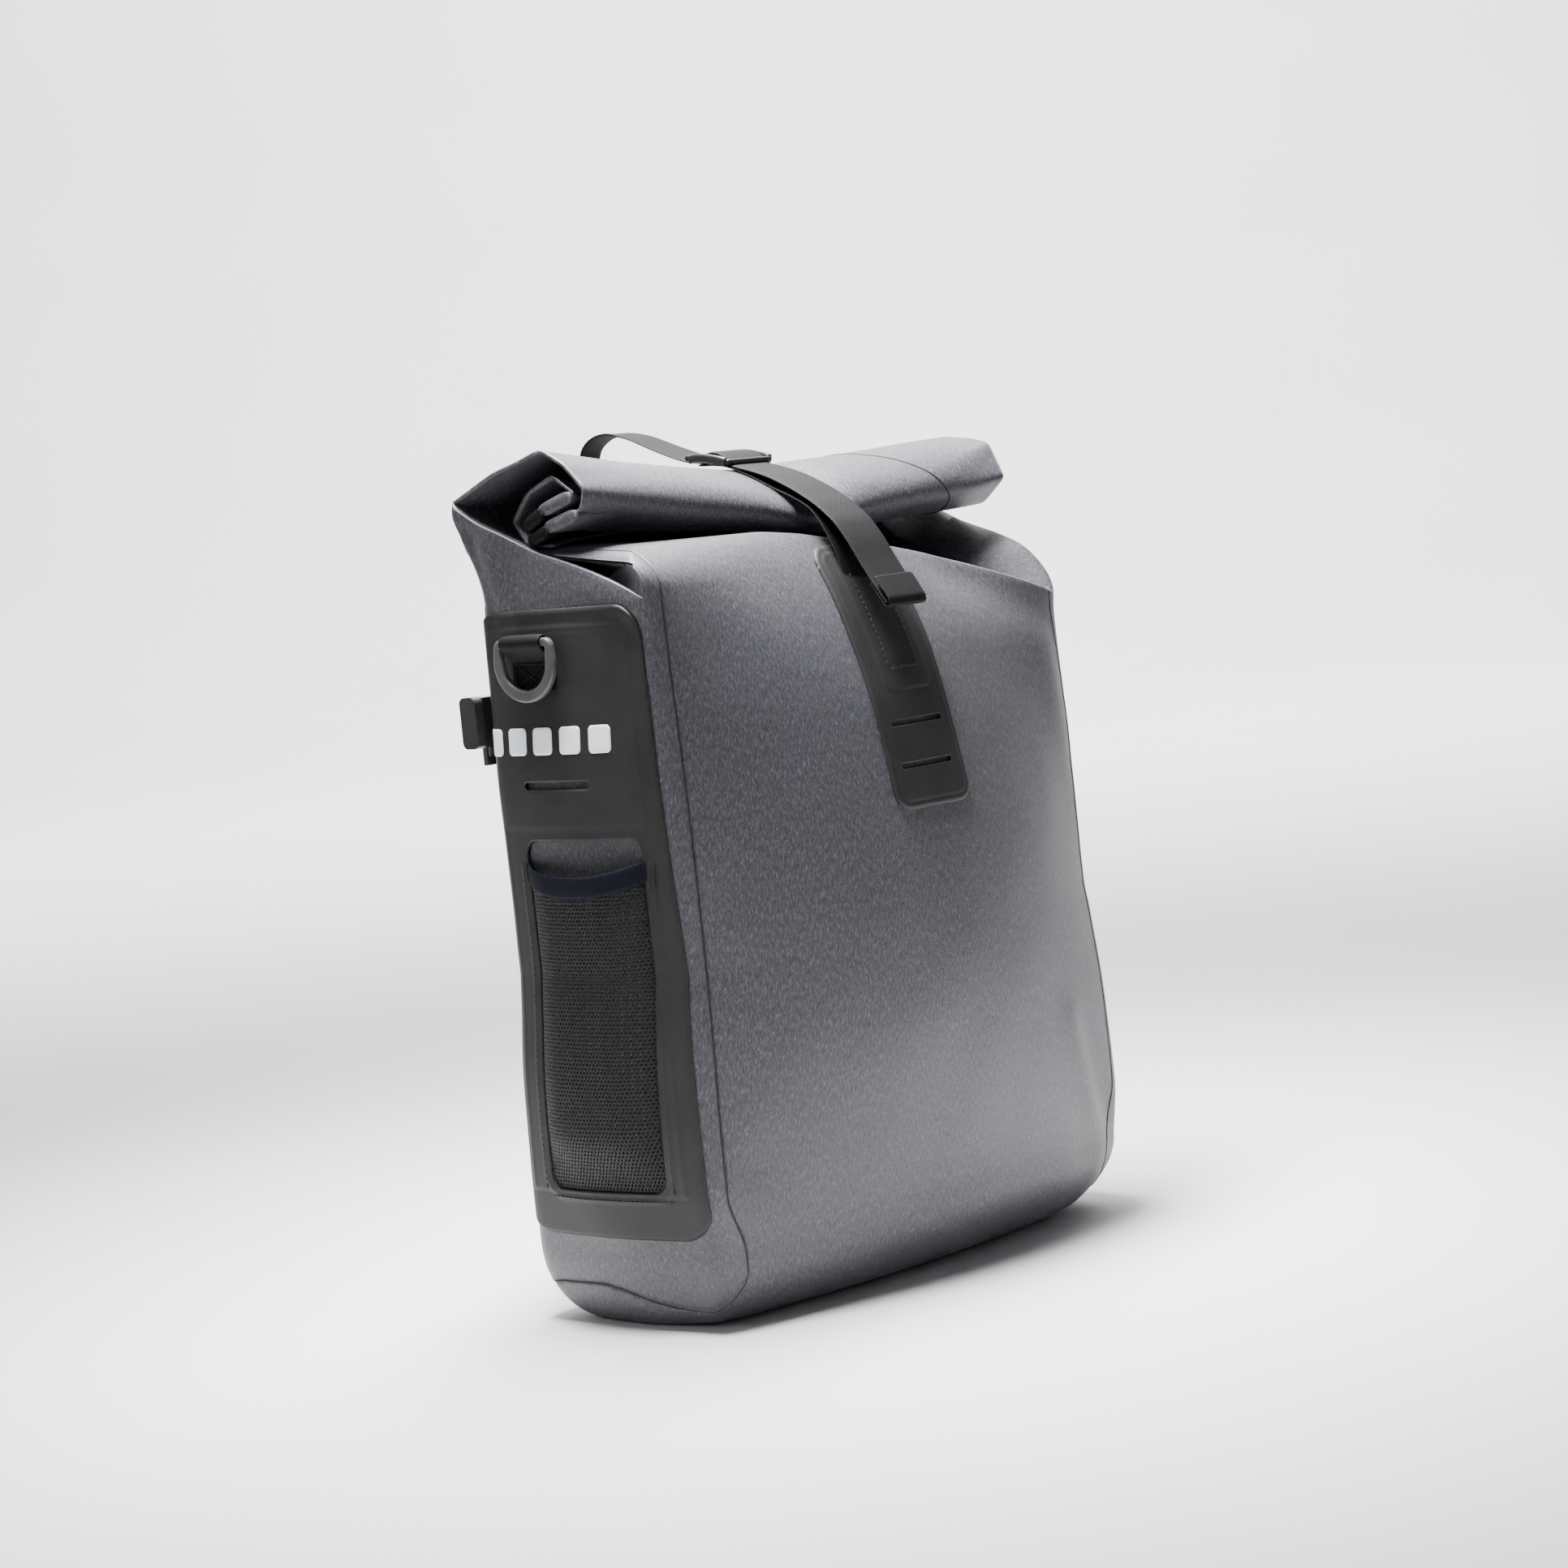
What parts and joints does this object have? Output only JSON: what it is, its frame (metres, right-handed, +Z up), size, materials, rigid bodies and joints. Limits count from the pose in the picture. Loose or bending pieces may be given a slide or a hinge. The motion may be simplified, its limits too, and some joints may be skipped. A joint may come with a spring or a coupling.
{
  "type": "pannier bag",
  "caption": "Roll-top bicycle pannier bag with webbing closure, side patches with mesh pockets and D-rings, and a rear rail with latching rack hooks.",
  "frame": {"origin": "on the ground, under the middle of the bag's bounding box", "axes": "+Z up, -Y the outer face, +Y towards the rack, +X towards the front of the bicycle"},
  "size_m": [0.316, 0.1804, 0.3942],
  "materials": {
    "coated_fabric": "melange woven face with a welded waterproof backing",
    "stiffener": "plain sheet plastic",
    "rubber_patch": "matte thermoplastic rubber, welded edge",
    "mesh": "open knitted mesh",
    "elastic_binding": "ribbed elastic tape",
    "reflective_film": "reflective film",
    "webbing": "ribbed woven webbing",
    "ring_nylon": "satin moulded",
    "buckle_nylon": "satin moulded",
    "rail_aluminium": "black anodised",
    "hook_nylon": "fine moulded texture",
    "liner_rubber": "soft liner",
    "latch_nylon": "fine moulded texture",
    "steel": "zinc plated"
  },
  "bodies": {
    "bag": {"front_panel": "coated_fabric", "back_panel": "coated_fabric", "side_gusset_left": "coated_fabric", "side_gusset_right": "coated_fabric", "gusset_fold_left": "coated_fabric", "gusset_fold_right": "coated_fabric", "base_panel": "coated_fabric", "back_plate": "stiffener", "roll_outer": "coated_fabric", "roll_inner": "coated_fabric", "hem_front": "coated_fabric", "hem_back": "coated_fabric", "batten_front": "stiffener", "batten_back": "stiffener", "side_patch_left": "rubber_patch", "side_patch_right": "rubber_patch", "mesh_pocket_left": "mesh", "mesh_pocket_right": "mesh", "pocket_binding_left": "elastic_binding", "pocket_binding_right": "elastic_binding", "reflectors_left": "reflective_film", "reflectors_right": "reflective_film", "ring_loop_left": "webbing", "ring_loop_right": "webbing", "front_strip": "rubber_patch", "closure_strap": "webbing", "strap_tail": "webbing", "buckle": "buckle_nylon", "carry_strap": "webbing", "strap_anchor": "rubber_patch", "mounting_rail": "rail_aluminium", "rail_cap_left": "hook_nylon", "rail_cap_right": "hook_nylon", "rail_screws": "steel", "rail_nuts": "steel", "lower_rail": "hook_nylon", "lower_rail_screws": "steel", "lower_rail_nuts": "steel"},
    "hook_left": {"hook_left": "hook_nylon", "hook_liner_left": "liner_rubber", "latch_pin_left": "steel", "latch_spring_left": "steel"},
    "hook_right": {"hook_right": "hook_nylon", "hook_liner_right": "liner_rubber", "latch_pin_right": "steel", "latch_spring_right": "steel"},
    "latch_left": {"latch_left": "latch_nylon"},
    "latch_right": {"latch_right": "latch_nylon"},
    "ring_left": {"d_ring_left": "ring_nylon"},
    "ring_right": {"d_ring_right": "ring_nylon"},
    "lower_slider": {"lower_slider": "hook_nylon", "lower_hook_washer": "steel"},
    "lower_hook": {"lower_hook": "hook_nylon"}
  },
  "joints": [
    {"name": "ring_left_swing", "type": "hinge", "parent": "bag", "child": "ring_left", "pos_m": [-0.1492, 0.014, 0.301], "axis": [0, 1, 0], "range_deg": [0, 150]},
    {"name": "ring_right_swing", "type": "hinge", "parent": "bag", "child": "ring_right", "pos_m": [0.1492, 0.014, 0.301], "axis": [0, -1, 0], "range_deg": [0, 150]},
    {"name": "hook_left_slide", "type": "slide", "parent": "bag", "child": "hook_left", "axis": [1, 0, 0], "range_m": [-0.022, 0.06]},
    {"name": "hook_right_slide", "type": "slide", "parent": "bag", "child": "hook_right", "axis": [-1, 0, 0], "range_m": [-0.022, 0.06]},
    {"name": "latch_left_open", "type": "hinge", "parent": "hook_left", "child": "latch_left", "pos_m": [-0.092, 0.0643, 0.2433], "axis": [-1, 0, 0], "range_deg": [0, 80], "stiffness_Nm_per_rad": 0.01, "springref_deg": -17.19},
    {"name": "latch_right_open", "type": "hinge", "parent": "hook_right", "child": "latch_right", "pos_m": [0.092, 0.0643, 0.2433], "axis": [-1, 0, 0], "range_deg": [0, 80], "stiffness_Nm_per_rad": 0.01, "springref_deg": -17.19},
    {"name": "lower_hook_slide", "type": "slide", "parent": "bag", "child": "lower_slider", "axis": [1, 0, 0], "range_m": [-0.045, 0.045]},
    {"name": "lower_hook_swivel", "type": "hinge", "parent": "lower_slider", "child": "lower_hook", "pos_m": [0, 0.069, 0.096], "axis": [0, 1, 0], "range_deg": [-90, 90]}
  ]
}
